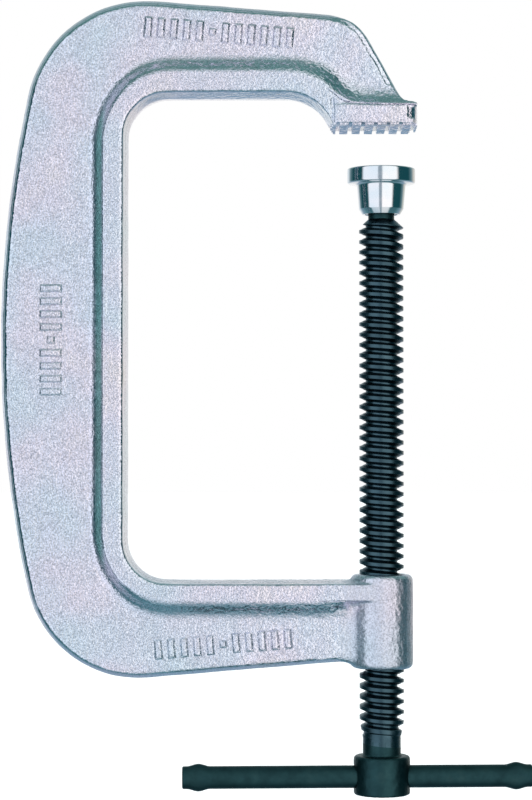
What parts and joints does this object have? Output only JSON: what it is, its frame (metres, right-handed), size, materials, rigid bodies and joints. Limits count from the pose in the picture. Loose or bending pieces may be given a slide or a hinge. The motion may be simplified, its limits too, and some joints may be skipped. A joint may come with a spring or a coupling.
{
  "type": "c clamp",
  "caption": "Forged C-shaped clamp: a screw through the lower arm, turned by a sliding bar, pushes a swivel pad towards a toothed anvil on the upper arm.",
  "frame": {"origin": "centre of the anvil's toothed face, on the screw axis, in the clamp's middle plane", "axes": "+Z along the screw axis from the head to the anvil, +X away from the spine, +Y through the thickness of the frame"},
  "size_m": [0.2065, 0.0264, 0.3077],
  "materials": {
    "plated_forging": "satin",
    "black_oxide_screw": "satin",
    "plated_pad": "gloss",
    "spring_steel": "satin",
    "black_oxide_bar": "satin"
  },
  "bodies": {
    "frame_body": {"frame": "plated_forging"},
    "carrier": {"retaining_ring": "spring_steel"},
    "screw": {"spindle": "black_oxide_screw"},
    "pad": {"swivel_pad": "plated_pad"},
    "bar": {"tommy_bar": "black_oxide_bar"}
  },
  "joints": [
    {"name": "spindle_travel", "type": "slide", "parent": "frame_body", "child": "carrier", "axis": [0, 0, 1], "range_m": [-0.138, 0.013]},
    {"name": "spindle_turn", "type": "hinge", "parent": "carrier", "child": "screw", "pos_m": [0, 0, -0.0245], "axis": [0, 0, 1], "range_deg": [-1171, 12421]},
    {"name": "pad_tilt", "type": "hinge", "parent": "carrier", "child": "pad", "pos_m": [0, 0, -0.0245], "axis": [0, 1, 0], "range_deg": [-7, 7]},
    {"name": "bar_slide", "type": "slide", "parent": "screw", "child": "bar", "axis": [0.9982, 0.0593, 0], "range_m": [-0.0385, 0.0572]}
  ],
  "couplings": [
    {"joint": "spindle_turn", "follows": "spindle_travel", "rad_per_m": -1570.8}
  ]
}
